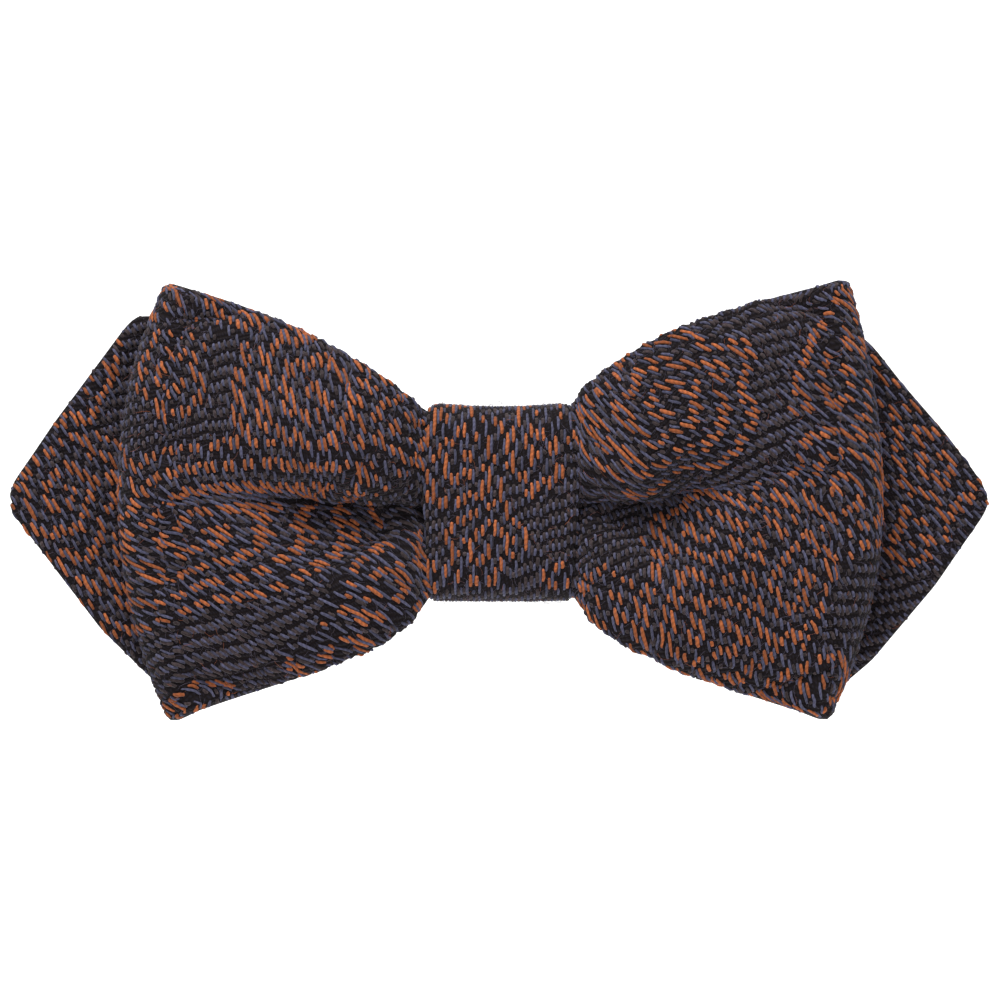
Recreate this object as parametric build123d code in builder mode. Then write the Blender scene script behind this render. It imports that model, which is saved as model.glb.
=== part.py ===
from build123d import *
import os

# A ready-tied diamond-point bow tie on a sprung collar clip. Millimetres, +Z up as worn, the front faces -Y.
# The origin is the middle of the clip base's rear face, which lies against the collar when the tie is worn.
# From the collar forwards the cloth lies in this order: back blade, rear layer of the front loop, front layer
# of the front loop, and the knot band, which wraps all of them and the clip base.

# Back blade, seen from the front
BLADE_TIP_SPAN = 121.6  # over the two diamond tips, before they are rounded
BLADE_SHOULDER_SPAN = 90.0
BLADE_SHOULDER_HEIGHT = 46.4
BLADE_TIP_RADIUS = 2.2
BLADE_SHOULDER_RADIUS = 3.0
BLADE_EDGE_SEAM = 1.4  # width of the turned edge that face and lining share

# Front loop, seen from the front
LOOP_FOLD_SPAN = 94.4  # over the bulging fold edges, at mid height
LOOP_CORNER_SPAN = 84.0
LOOP_HEIGHT = 54.0
LOOP_EDGE_SEAM = 1.2
NECK_HEIGHT = 23.0  # both bows, where they leave the knot
NECK_RUN = 1.0  # how far out from the knot they reach that height
EDGE_ARCH = 1.6  # how far the sloping edges arch out from straight

# Front loop, seen from above
FOLD_RADIUS = 3.7  # to the middle of the cloth
LOBE_DEPTH = 9.0  # middle of the rear layer to middle of the front layer, at a lobe's crown
PLEAT_DEPTH = 7.3  # the same, down in the pleat between the lobes
EDGE_DEPTH = 7.6  # the same, at the top and bottom edges
LOBE_CROWN_OUT = 14.0  # from the knot's side out to the crown of a lobe
LOBE_CROWN_HEIGHT = 13.0

# Cloth
CLOTH = 0.8  # doubled jacquard cloth
CANVAS = 0.8  # interlining
LAYER_GAP = 0.1  # air between layers that lie on each other
RAW_END_GAP = 0.4  # between the front loop's two cut ends, behind the knot

# Knot
KNOT_WIDTH = 19.0
KNOT_BACK_WIDTH = 15.0
KNOT_HEIGHT = 24.0
KNOT_CANVAS = 1.0
KNOT_INNER_BEND_RADIUS = 0.8
KNOT_EDGE_RADIUS = 0.9
KNOT_EDGE_SEAM = 1.3
KNOT_END_GAP = 0.3  # between the band's two ends, behind the clip

# Threads
THREAD = 0.4
THREAD_TURNS = 5
THREAD_PITCH = 1.3
STITCHES = 5
STITCH_PITCH = 2.6
STITCH_LENGTH = 2.8
STITCH_HEIGHT = 0.3

# Collar clip
STEEL = 0.6
CLIP_WIDTH = 10.4
CLIP_CORNER_RADIUS = 1.6
CLIP_END = 1.2  # how far the base reaches past the levers' lips
PIN_DIAMETER = 1.2
PIN_HEAD_DIAMETER = 2.0
PIN_HEAD = 0.4
PIN_STANDOFF = 2.2  # from the base's rear face to the pin's middle
PIN_RUNNING_GAP = 0.05
EAR_RADIUS = 1.6
EAR_SIDE_GAP = 0.15
LEVER_OUT = 8.8  # from the pin out to the toothed lip
LEVER_IN = 5.3  # from the pin in to the end of the thumb tab
TAB_CLEARANCE = 2.7  # from the back of the knot out to the end of the thumb tab
PLATE_CLEARANCE = 0.45  # between the spring's coil and the lever plate over it
TAB_RISE = 1.8  # how much further the thumb tab stands from the base
LIP_DROP = 1.4  # how far the plate falls towards the base on its way to the lip
LEVER_BEND_RADIUS = 0.7
JAW_GAP = 0.3
TEETH = 5
TOOTH_PITCH = 1.7
TOOTH_NOTCH = 0.8
TOOTH_DEPTH = 0.9

# Torsion springs
WIRE = 0.4
COIL_CLEARANCE = 0.15
COIL_PITCH = 0.5
COIL_WHOLE_TURNS = 5
TAB_LEG_ANGLE = 66.0  # round the pin from the base leg's side to where the coil ends, in degrees
TAB_LEG_LENGTH = 2.7

# Depths, from the collar forwards
layer = CLOTH + CANVAS + CLOTH
blade_back = -(STEEL + THREAD + LAYER_GAP)
blade_front = blade_back - layer
rear_y = blade_front - LAYER_GAP - layer / 2
waist_y = rear_y - layer - LAYER_GAP
loop_front = waist_y - layer / 2
knot_wall = CLOTH + KNOT_CANVAS + CLOTH
knot_front = loop_front - THREAD - LAYER_GAP - knot_wall
knot_back = LAYER_GAP + knot_wall
knot_middle_y = (knot_front + knot_back) / 2
knot_depth = knot_back - knot_front
knot_bend_radius = KNOT_INNER_BEND_RADIUS + knot_wall
waist_height = KNOT_HEIGHT - 2 * (knot_wall + THREAD + 2 * LAYER_GAP)

# Places along and across
forwards = (0, -1, 0)
neck_x = KNOT_WIDTH / 2
pin_x = KNOT_BACK_WIDTH / 2 + TAB_CLEARANCE + LEVER_IN
clip_length = 2 * (pin_x + LEVER_OUT + CLIP_END)
ear_inside = CLIP_WIDTH / 2 - STEEL
lever_half = ear_inside - EAR_SIDE_GAP
coil_radius = PIN_DIAMETER / 2 + COIL_CLEARANCE + WIRE / 2
plate_rise = coil_radius + WIRE / 2 + PLATE_CLEARANCE + STEEL / 2

os.makedirs("parts", exist_ok=True)


def finish(piece, label):
    piece.part.label = label
    export_step(piece.part, f"parts/{label}.step")


def mirrored(piece):
    """The same piece for the other side of the tie."""
    with BuildPart() as other:
        mirror(piece.part, about=Plane.YZ)
    return other


def bow_edge(corner):
    """Top edge of a bow's right half: along the waist, out of the knot, then up to the corner in an arch."""
    neck = Vector(neck_x + NECK_RUN, NECK_HEIGHT / 2)
    run = corner - neck
    arch = neck + run * 0.5 + Vector(-run.Y, run.X).normalized() * EDGE_ARCH
    Polyline((0, 0), (0, waist_height / 2), (neck_x, waist_height / 2), neck)
    ThreePointArc(neck, arch, corner)


def loop_band(z, fold_span, depth, width):
    """The front loop's tube at one height, seen from above, with its cut ends behind the knot."""
    fold_x = fold_span / 2 - layer / 2 - FOLD_RADIUS
    with BuildSketch(Plane.XY.offset(z)) as band:
        with BuildLine() as path:
            rear = Line((RAW_END_GAP / 2, rear_y), (fold_x, rear_y))
            fold = JernArc(rear @ 1, (1, 0), FOLD_RADIUS, -180)
            crown = (neck_x + LOBE_CROWN_OUT, rear_y - depth)
            lobe = Spline(fold @ 1, crown, (neck_x, waist_y), tangents=((-1, 0), (-1, 0)))
            Line(lobe @ 1, (0, waist_y))
            mirror(about=Plane.YZ)
        trace(path.wires(), line_width=width)
    return band.sketch


def loop_tube(width):
    """The front loop through five heights: edge, lobe, pleat, lobe, edge. The fold bulges at mid height."""
    top = LOOP_HEIGHT / 2
    depths = {-top: EDGE_DEPTH, -LOBE_CROWN_HEIGHT: LOBE_DEPTH, 0: PLEAT_DEPTH}
    depths |= {LOBE_CROWN_HEIGHT: LOBE_DEPTH, top: EDGE_DEPTH}
    bulge = LOOP_FOLD_SPAN - LOOP_CORNER_SPAN
    with BuildPart() as tube:
        for z, depth in depths.items():
            add(loop_band(z, LOOP_FOLD_SPAN - bulge * (z / top) ** 2, depth, width))
        loft()
    return tube.part


def loop_outline(inset):
    """Top and bottom edges of the front loop, seen from the front. The folds close its sides."""
    corner = Vector(LOOP_CORNER_SPAN / 2, LOOP_HEIGHT / 2)
    with BuildSketch(Plane.XZ) as outline:
        with BuildLine():
            bow_edge(corner)
            Polyline(corner, (LOOP_FOLD_SPAN, corner.Y), (LOOP_FOLD_SPAN, 0), (0, 0))
        make_face()
        mirror(about=Plane.XZ)
        mirror(about=Plane.YZ)
        offset(amount=-inset)
    return outline.sketch


def blade_outline(y, inset):
    """The back blade at one depth, seen from the front, with its two diamond points."""
    shoulder = Vector(BLADE_SHOULDER_SPAN / 2, BLADE_SHOULDER_HEIGHT / 2)
    with BuildSketch(Plane.XZ.offset(-y)) as outline:
        with BuildLine():
            bow_edge(shoulder)
            Polyline(shoulder, (BLADE_TIP_SPAN / 2, 0), (0, 0))
        make_face()
        mirror(about=Plane.XZ)
        mirror(about=Plane.YZ)
        across = outline.vertices().group_by(Axis.X)
        fillet(across[0] + across[-1], radius=BLADE_TIP_RADIUS)
        upwards = outline.vertices().group_by(Axis.Y)
        fillet(upwards[0] + upwards[-1], radius=BLADE_SHOULDER_RADIUS)
        offset(amount=-inset)
    return outline.sketch


def knot_ring(inset, side_seam):
    """The knot band, or its canvas that lies inset within it, closed round the waist but for the gap behind."""
    wall = knot_wall - 2 * inset
    bend = knot_bend_radius - inset
    front_half = KNOT_WIDTH / 2 - side_seam
    back_half = KNOT_BACK_WIDTH / 2 - side_seam
    with BuildPart() as ring:
        with BuildSketch(Plane.YZ):
            with Locations((knot_middle_y, 0)):
                RectangleRounded(knot_depth - 2 * inset, KNOT_HEIGHT - 2 * inset, bend)
                RectangleRounded(
                    knot_depth - 2 * knot_wall + 2 * inset,
                    KNOT_HEIGHT - 2 * knot_wall + 2 * inset,
                    bend - wall,
                    mode=Mode.SUBTRACT,
                )
            with Locations((knot_back, 0)):
                Rectangle(2 * knot_wall, KNOT_END_GAP, mode=Mode.SUBTRACT)
        extrude(amount=KNOT_WIDTH, both=True)
        with BuildSketch(Plane.XY.offset(-KNOT_HEIGHT)):
            with BuildLine():
                Polyline(
                    (-front_half, knot_front),
                    (front_half, knot_front),
                    (front_half, knot_middle_y),
                    (back_half, knot_back),
                    (-back_half, knot_back),
                    (-front_half, knot_middle_y),
                    close=True,
                )
            make_face()
        extrude(amount=2 * KNOT_HEIGHT, mode=Mode.INTERSECT)
    return ring.part


# Front loop: a flattened tube of cloth, cut short inside the knot, over a strip of canvas
with BuildPart() as front_loop_interlining:
    add(loop_tube(CANVAS))
    extrude(loop_outline(LOOP_EDGE_SEAM), amount=LOOP_FOLD_SPAN, dir=forwards, mode=Mode.INTERSECT)
finish(front_loop_interlining, "front_loop_interlining")

with BuildPart() as front_loop_shell:
    add(loop_tube(layer))
    extrude(loop_outline(0), amount=LOOP_FOLD_SPAN, dir=forwards, mode=Mode.INTERSECT)
    add(front_loop_interlining.part, mode=Mode.SUBTRACT)
finish(front_loop_shell, "front_loop_shell")

# Back blade: canvas lies in the face cloth, whose turned edge the lining covers
with BuildPart() as back_blade_interlining:
    extrude(blade_outline(blade_back - CLOTH, BLADE_EDGE_SEAM), amount=CANVAS, dir=forwards)
finish(back_blade_interlining, "back_blade_interlining")

with BuildPart() as back_blade_lining:
    extrude(blade_outline(blade_back, 0), amount=CLOTH, dir=forwards)
finish(back_blade_lining, "back_blade_lining")

with BuildPart() as back_blade_face:
    extrude(blade_outline(blade_back - CLOTH, 0), amount=CANVAS + CLOTH, dir=forwards)
    add(back_blade_interlining.part, mode=Mode.SUBTRACT)
finish(back_blade_face, "back_blade_face")

# Knot: a padded band round the waist and the clip base, narrower behind, where its ends meet
with BuildPart() as knot_interlining:
    add(knot_ring(CLOTH, KNOT_EDGE_SEAM))
finish(knot_interlining, "knot_interlining")

with BuildPart() as knot_band:
    add(knot_ring(0, 0))
    front_rims = knot_band.edges().filter_by(Axis.Z).group_by(Axis.Y)[0]
    fillet(front_rims, radius=KNOT_EDGE_RADIUS)
    add(knot_interlining.part, mode=Mode.SUBTRACT)
finish(knot_band, "knot_band")

# Threads: turns that cinch both bows under the knot, and stitches that close the knot behind
turn_planes = [Plane.YZ.offset((turn - (THREAD_TURNS - 1) / 2) * THREAD_PITCH) for turn in range(THREAD_TURNS)]
with BuildPart() as waist_binding_thread:
    with BuildSketch(*turn_planes):
        with Locations(((loop_front + blade_back) / 2, 0)):
            RectangleRounded(blade_back - loop_front + 2 * THREAD, waist_height + 2 * THREAD, THREAD)
            Rectangle(blade_back - loop_front, waist_height, mode=Mode.SUBTRACT)
    extrude(amount=THREAD / 2, both=True)
finish(waist_binding_thread, "waist_binding_thread")

with BuildPart() as knot_back_stitches:
    with BuildSketch(Plane.XZ.offset(-knot_back)):
        with GridLocations(STITCH_PITCH, 1, STITCHES, 1):
            SlotOverall(STITCH_LENGTH, THREAD, rotation=90)
    extrude(amount=-STITCH_HEIGHT)
finish(knot_back_stitches, "knot_back_stitches")

# Collar clip: a base strip with four ears, and a sprung toothed lever on a pin at each end
ear_planes = [Plane.XY.offset(ear_inside), Plane.XY.offset(-CLIP_WIDTH / 2)]
with BuildPart() as clip_base:
    with BuildSketch(Plane.XZ):
        RectangleRounded(clip_length, CLIP_WIDTH, CLIP_CORNER_RADIUS)
    extrude(amount=STEEL)
    with BuildSketch(*ear_planes):
        with Locations((-pin_x, 0), (pin_x, 0)):
            with Locations((0, (PIN_STANDOFF - STEEL) / 2)):
                Rectangle(2 * EAR_RADIUS, PIN_STANDOFF + STEEL)
            with Locations((0, PIN_STANDOFF)):
                Circle(EAR_RADIUS)
                Circle(PIN_DIAMETER / 2, mode=Mode.SUBTRACT)
    extrude(amount=STEEL)
finish(clip_base, "clip_base")

head_planes = [Plane.XY.offset(CLIP_WIDTH / 2), Plane.XY.offset(-CLIP_WIDTH / 2 - PIN_HEAD)]
with BuildPart() as hinge_pin_right:
    with BuildSketch(Plane.XY.offset(-CLIP_WIDTH / 2)):
        with Locations((pin_x, PIN_STANDOFF)):
            Circle(PIN_DIAMETER / 2)
    extrude(amount=CLIP_WIDTH)
    with BuildSketch(*head_planes):
        with Locations((pin_x, PIN_STANDOFF)):
            Circle(PIN_HEAD_DIAMETER / 2)
    extrude(amount=PIN_HEAD)
    outer_rims = hinge_pin_right.edges().filter_by(GeomType.CIRCLE).group_by(Axis.Z)
    fillet(outer_rims[0] + outer_rims[-1], radius=PIN_HEAD / 2)
finish(hinge_pin_right, "hinge_pin_right")

over_pin = Vector(pin_x, PIN_STANDOFF + plate_rise)
tab_end = over_pin + Vector(-LEVER_IN, TAB_RISE)
knee = over_pin + Vector(LEVER_OUT, -LIP_DROP)
lever_ear_planes = [Plane.XY.offset(-lever_half), Plane.XY.offset(lever_half - STEEL)]
with BuildPart() as clip_lever_right:
    with BuildSketch(Plane.XY.offset(-lever_half)):
        with BuildLine() as plate:
            FilletPolyline(tab_end, over_pin, knee, (knee.X, JAW_GAP), radius=LEVER_BEND_RADIUS)
        trace(plate.wires(), line_width=STEEL)
    extrude(amount=2 * lever_half)
    with BuildSketch(*lever_ear_planes):
        with BuildLine():
            Polyline(
                (pin_x - EAR_RADIUS, PIN_STANDOFF),
                (pin_x - EAR_RADIUS, over_pin.Y + TAB_RISE * EAR_RADIUS / LEVER_IN),
                over_pin,
                (pin_x + EAR_RADIUS, over_pin.Y - LIP_DROP * EAR_RADIUS / LEVER_OUT),
                (pin_x + EAR_RADIUS, PIN_STANDOFF),
                close=True,
            )
        make_face()
        with Locations((pin_x, PIN_STANDOFF)):
            Circle(EAR_RADIUS)
            Circle(PIN_DIAMETER / 2 + PIN_RUNNING_GAP, mode=Mode.SUBTRACT)
    extrude(amount=STEEL)
    with BuildSketch(Plane.YZ.offset(knee.X - STEEL)):
        with Locations((JAW_GAP, 0)):
            with GridLocations(1, TOOTH_PITCH, 1, TEETH):
                Rectangle(2 * TOOTH_DEPTH, TOOTH_NOTCH)
    extrude(amount=2 * STEEL, mode=Mode.SUBTRACT)
finish(clip_lever_right, "clip_lever_right")

coil_height = COIL_PITCH * (COIL_WHOLE_TURNS + TAB_LEG_ANGLE / 360)
with BuildPart() as torsion_spring_right:
    with BuildLine():
        coil = Helix(COIL_PITCH, coil_height, coil_radius, center=(pin_x, PIN_STANDOFF, -coil_height / 2))
    with BuildSketch(Plane(coil @ 0, z_dir=coil % 0)):
        Circle(WIRE / 2)
    sweep(path=coil, is_frenet=True)
    with BuildSketch(Plane(coil @ 0, z_dir=coil % 0)):
        Circle(WIRE / 2)
    extrude(amount=-(PIN_STANDOFF - LAYER_GAP))
    with BuildSketch(Plane(coil @ 1, z_dir=coil % 1)):
        Circle(WIRE / 2)
    extrude(amount=TAB_LEG_LENGTH)
finish(torsion_spring_right, "torsion_spring_right")

finish(mirrored(hinge_pin_right), "hinge_pin_left")
finish(mirrored(clip_lever_right), "clip_lever_left")
finish(mirrored(torsion_spring_right), "torsion_spring_left")
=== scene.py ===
import math

import bpy
import numpy as np
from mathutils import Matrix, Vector


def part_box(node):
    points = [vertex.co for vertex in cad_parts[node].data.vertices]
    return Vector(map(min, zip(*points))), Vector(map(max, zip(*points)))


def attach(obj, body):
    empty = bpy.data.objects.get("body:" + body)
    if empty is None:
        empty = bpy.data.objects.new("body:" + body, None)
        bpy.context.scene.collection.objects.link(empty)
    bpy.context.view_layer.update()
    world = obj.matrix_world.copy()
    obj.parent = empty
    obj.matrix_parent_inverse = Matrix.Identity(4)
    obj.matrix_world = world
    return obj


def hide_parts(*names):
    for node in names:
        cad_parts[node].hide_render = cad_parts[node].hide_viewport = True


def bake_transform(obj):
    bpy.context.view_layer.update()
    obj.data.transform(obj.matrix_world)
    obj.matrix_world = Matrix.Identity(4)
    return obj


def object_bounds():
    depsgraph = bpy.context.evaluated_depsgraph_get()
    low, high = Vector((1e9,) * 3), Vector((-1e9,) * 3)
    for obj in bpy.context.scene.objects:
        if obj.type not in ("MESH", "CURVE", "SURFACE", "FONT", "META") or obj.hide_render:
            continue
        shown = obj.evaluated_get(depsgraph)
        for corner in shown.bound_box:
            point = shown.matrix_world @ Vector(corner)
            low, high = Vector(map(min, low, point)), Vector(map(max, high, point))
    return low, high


bl_info = {
    "name": "Diamond-point bow tie",
    "version": (1, 0, 0),
    "blender": (4, 5, 0),
    "location": "3D View > Sidebar > Bow Tie",
    "description": "Dresses the tie in figured jacquard, yarn by yarn, and its clip in nickel",
    "category": "Object",
}

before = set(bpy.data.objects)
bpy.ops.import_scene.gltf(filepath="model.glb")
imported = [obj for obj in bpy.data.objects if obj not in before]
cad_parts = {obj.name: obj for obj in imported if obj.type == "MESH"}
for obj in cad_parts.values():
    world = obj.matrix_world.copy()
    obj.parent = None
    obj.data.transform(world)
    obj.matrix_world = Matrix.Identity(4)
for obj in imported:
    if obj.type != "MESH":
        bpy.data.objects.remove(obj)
CAD_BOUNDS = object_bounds()

# Shapes are worked out in millimetres and written to meshes in metres.
MM = 0.001
BOW = "bow"


def node_box(node):
    """Lowest and highest corner of a frame node, in millimetres."""
    low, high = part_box(node)
    return np.array(low) / MM, np.array(high) / MM


LOOP_LOW, LOOP_HIGH = node_box("front_loop_shell")
FACE_LOW, FACE_HIGH = node_box("back_blade_face")
LINING_HIGH = node_box("back_blade_lining")[1]
KNOT_LOW, KNOT_HIGH = node_box("knot_band")
BINDING_LOW, BINDING_HIGH = node_box("waist_binding_thread")
CLOTH = LINING_HIGH[1] - FACE_LOW[1]  # face, canvas and lining together
REAR_Y = LOOP_HIGH[1] - CLOTH / 2  # middle of the loop's rear layer
WAIST_Y = REAR_Y - CLOTH + LOOP_HIGH[1] - FACE_LOW[1]  # middle of its front layer, in the knot
WAIST_HALF = BINDING_HIGH[2] - 0.4  # half the waist's height, inside its binding thread
KNOT_SIDE = KNOT_HIGH[0]
KNOT_WALL = 2.6
WALL = CLOTH / 3  # face cloth, canvas and rear cloth are as thick as each other


# ---------------------------------------------------------------- settings


class BowTieShape(bpy.types.PropertyGroup):
    """How the bows and the knot are folded."""

    lobe_rise: bpy.props.FloatProperty(
        name="Lobe rise", description="How far a lobe's crown stands in front of the waist",
        default=6.6 * MM, unit="LENGTH")
    fold_radius: bpy.props.FloatProperty(
        name="Fold radius", description="Bend of the front loop's outer folds, to the middle of the cloth",
        default=3.5 * MM, unit="LENGTH")
    pleat_lip: bpy.props.FloatProperty(
        name="Pleat lip", description="How far the upper lobe hangs over the pleat",
        default=3.8 * MM, unit="LENGTH")
    cloth_swell: bpy.props.FloatProperty(
        name="Cloth swell", description="Share by which the pinned cloth grows as it settles",
        default=0.05, subtype="FACTOR")
    settle_limit: bpy.props.FloatProperty(
        name="Settling limit", description="Furthest that a point of the cloth may move as it settles",
        default=0.8 * MM, unit="LENGTH")


class BowTieCloth(bpy.types.PropertyGroup):
    """The jacquard's yarns."""

    yarn_pitch: bpy.props.FloatProperty(
        name="Yarn pitch", description="From one surface yarn to the next, across them",
        default=0.37 * MM, unit="LENGTH")
    yarn_width: bpy.props.FloatProperty(
        name="Yarn width", description="Width of a surface yarn", default=0.40 * MM, unit="LENGTH")
    yarn_rise: bpy.props.FloatProperty(
        name="Yarn rise", description="How far a surface yarn stands out of the cloth",
        default=0.17 * MM, unit="LENGTH")
    rust: bpy.props.FloatVectorProperty(
        name="Rust yarn", description="Colour of the figure's yarn", subtype="COLOR",
        default=(0.31, 0.088, 0.030))
    slate: bpy.props.FloatVectorProperty(
        name="Slate yarn", description="Colour of the ground's surface yarn", subtype="COLOR",
        default=(0.066, 0.066, 0.112))
    charcoal: bpy.props.FloatVectorProperty(
        name="Charcoal yarn", description="Colour of the crossing yarns in the ground", subtype="COLOR",
        default=(0.042, 0.030, 0.032))


class BowTieMetal(bpy.types.PropertyGroup):
    """The collar clip's finish."""

    nickel: bpy.props.FloatVectorProperty(
        name="Nickel", description="Colour of the clip's plating", subtype="COLOR",
        default=(0.44, 0.425, 0.40))
    spring_steel: bpy.props.FloatVectorProperty(
        name="Spring steel", description="Colour of the spring wire", subtype="COLOR",
        default=(0.30, 0.30, 0.31))
    wire: bpy.props.FloatProperty(
        name="Spring wire", description="Diameter of the torsion springs' wire",
        default=0.4 * MM, unit="LENGTH")


class BowTieStage(bpy.types.PropertyGroup):
    """Floor, lights and camera."""

    key_power: bpy.props.FloatProperty(
        name="Key light", description="Large soft light above and in front", default=27.0, unit="POWER")
    fill_power: bpy.props.FloatProperty(
        name="Fill light", description="Large soft light low in front", default=2.4, unit="POWER")
    floor_gap: bpy.props.FloatProperty(
        name="Floor gap", description="From the tie down to the floor", default=0.12, unit="LENGTH")
    sky: bpy.props.FloatProperty(
        name="Sky", description="Strength of the white light from all round", default=0.13)
    camera_reach: bpy.props.FloatProperty(
        name="Camera distance", description="From the tie to the camera", default=1.2, unit="LENGTH")
    view_width: bpy.props.FloatProperty(
        name="Width in view", description="Width that the camera takes in at the tie", default=0.12308,
        unit="LENGTH")


# ---------------------------------------------------------------- curves and cloth


def smooth(value):
    """Eases from 0 to 1."""
    t = np.clip(value, 0.0, 1.0)
    return t * t * (3 - 2 * t)


def mix(a, b, share):
    """From a to b by a share of the way."""
    return a + (b - a) * share


def cubic(p0, p1, p2, p3, t):
    """A cubic curve's value at t. Every argument may be an array."""
    return (1 - t) ** 3 * p0 + 3 * (1 - t) ** 2 * t * p1 + 3 * (1 - t) * t ** 2 * p2 + t ** 3 * p3


def curve(points):
    """200 points along a cubic curve, whose corners are shares of the loop's half width and half height."""
    p = np.array(points, float) * (LOOP_HIGH[0], LOOP_HIGH[2])
    return cubic(*p[:, None, :], np.linspace(0, 1, 200)[:, None])


def running_length(points, axis):
    """Running length of a grid of points along one axis, from its first row."""
    gaps = np.linalg.norm(np.diff(points, axis=axis), axis=-1)
    lead = np.zeros_like(np.take(gaps, [0], axis=axis))
    return np.concatenate([lead, np.cumsum(gaps, axis=axis)], axis=axis)


def grid_normals(grid):
    """Unit normals of a grid of points, on the side from which rows run right and columns run up."""
    normal = np.cross(np.gradient(grid, axis=0), np.gradient(grid, axis=1))
    return normal / np.maximum(np.linalg.norm(normal, axis=-1, keepdims=True), 1e-9)


class Cloth:
    """A strip of cloth as a grid of points through its middle, with its own lengths along and across."""

    def __init__(self, middle, thickness, rim, zero_row, zero_column, flat=False):
        self.middle = middle
        self.thickness = thickness
        self.rim = rim
        self.zero = zero_row, zero_column, flat
        self.normal = grid_normals(middle)
        along = running_length(middle, 0)
        if flat:
            along = np.broadcast_to(along[:, [zero_column]], along.shape)
        across = running_length(middle, 1)
        self.along = along - along[zero_row][None, :]
        self.across = across - across[:, [zero_column]]

    def half_thickness(self):
        """Half the thickness at each point, which rounds off over the turned edges."""
        to_edge = np.minimum(self.across - self.across[:, :1], self.across[:, -1:] - self.across)
        share = np.clip(to_edge / np.minimum(self.rim, self.across[:, -1:] - self.across[:, :1]), 0, 1)
        return self.thickness / 2 * np.sqrt(1 - (1 - share) ** 2)

    def face(self, side):
        """The outer (+1) or inner (-1) surface."""
        return self.middle + side * self.normal * self.half_thickness()[..., None]

    def inset(self, margin, thickness, rim):
        """A narrower, thinner layer in the middle of this one."""
        rows = []
        for b, row in zip(self.across, self.middle):
            keep = np.clip(1 - margin * 2 / (b[-1] - b[0]), 0.2, 1)
            at = (b + b[0] * -1) * keep + (b[-1] - b[0]) * (1 - keep) / 2 + b[0]
            rows.append(np.stack([np.interp(at, b, row[:, k]) for k in range(3)], axis=-1))
        return Cloth(np.array(rows), thickness, rim, *self.zero)


def corner_values(mesh, name, values):
    """A UV map from one pair of values for each vertex."""
    corners = np.empty(len(mesh.loops), np.int32)
    mesh.loops.foreach_get("vertex_index", corners)
    layer = mesh.uv_layers.new(name=name)
    layer.data.foreach_set("uv", np.asarray(values, np.float32).reshape(-1, 2)[corners].ravel())


def mesh_object(name, vertices, faces, uv=None):
    """A new mesh object from points in millimetres."""
    mesh = bpy.data.meshes.new(name)
    mesh.from_pydata((np.asarray(vertices) * MM).tolist(), [], faces)
    if uv is not None:
        corner_values(mesh, "Weave", uv)
    mesh.polygons.foreach_set("use_smooth", [True] * len(mesh.polygons))
    mesh.update()
    piece = bpy.data.objects.new(name, mesh)
    bpy.context.scene.collection.objects.link(piece)
    return piece


def put(piece, material, node=None):
    """Gives a piece its material and slot, fixes it to the tie, and hides the frame node it stands for."""
    piece.data.materials.append(material)
    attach(piece, BOW)
    if node:
        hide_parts(node)
    return piece


def skin(cloth, start=0, inward=False):
    """Vertices, lengths and faces of a cloth's outer and inner faces, joined round its turned edges."""
    outer, inner = cloth.face(1), cloth.face(-1)
    uv = np.stack([cloth.along, cloth.across], axis=-1)
    ring = np.concatenate([outer, inner[:, -2:0:-1]], axis=1)
    ring_uv = np.concatenate([uv, uv[:, -2:0:-1]], axis=1)
    rows, around = ring.shape[:2]
    i, j = np.meshgrid(np.arange(rows - 1), np.arange(around), indexing="ij")
    m = (j + 1) % around
    quads = np.stack([i * around + j, (i + 1) * around + j, (i + 1) * around + m, i * around + m], axis=-1)
    quads = quads.reshape(-1, 4) + start
    if inward:
        quads = quads[:, ::-1]
    return ring.reshape(-1, 3), ring_uv.reshape(-1, 2), quads.tolist()


def slab(name, cloth):
    """A closed mesh of one layer of cloth."""
    points, uv, faces = skin(cloth)
    rows, columns = cloth.middle.shape[:2]
    around = 2 * columns - 2
    for i in (0, rows - 1):
        for j in range(columns - 1):
            corners = [i * around + j, i * around + j + 1,
                       i * around + (around - j - 1) % around, i * around + (around - j) % around]
            corners = list(dict.fromkeys(corners))
            faces.append(corners if i == 0 else corners[::-1])
    return mesh_object(name, points, faces, uv)


def tube(name, cloth, cavity):
    """A closed mesh of a flattened tube of cloth: its outside, its hollow, and its raw ends."""
    points, uv, faces = skin(cloth)
    inside, inside_uv, inside_faces = skin(cavity, len(points), True)
    rows, columns = cloth.middle.shape[:2]
    around = 2 * columns - 2
    for i in (0, rows - 1):
        for j in range(around):
            m = (j + 1) % around
            near, far = i * around + j, i * around + m
            corners = [near, far, len(points) + far, len(points) + near]
            inside_faces.append(corners if i == 0 else corners[::-1])
    every_point, every_uv = np.concatenate([points, inside]), np.concatenate([uv, inside_uv])
    return mesh_object(name, every_point, faces + inside_faces, every_uv)


ENLARGED = 10  # the cloth is simulated at this many times its size, where the solver is steady
SETTLING_FRAMES = 12


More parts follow.
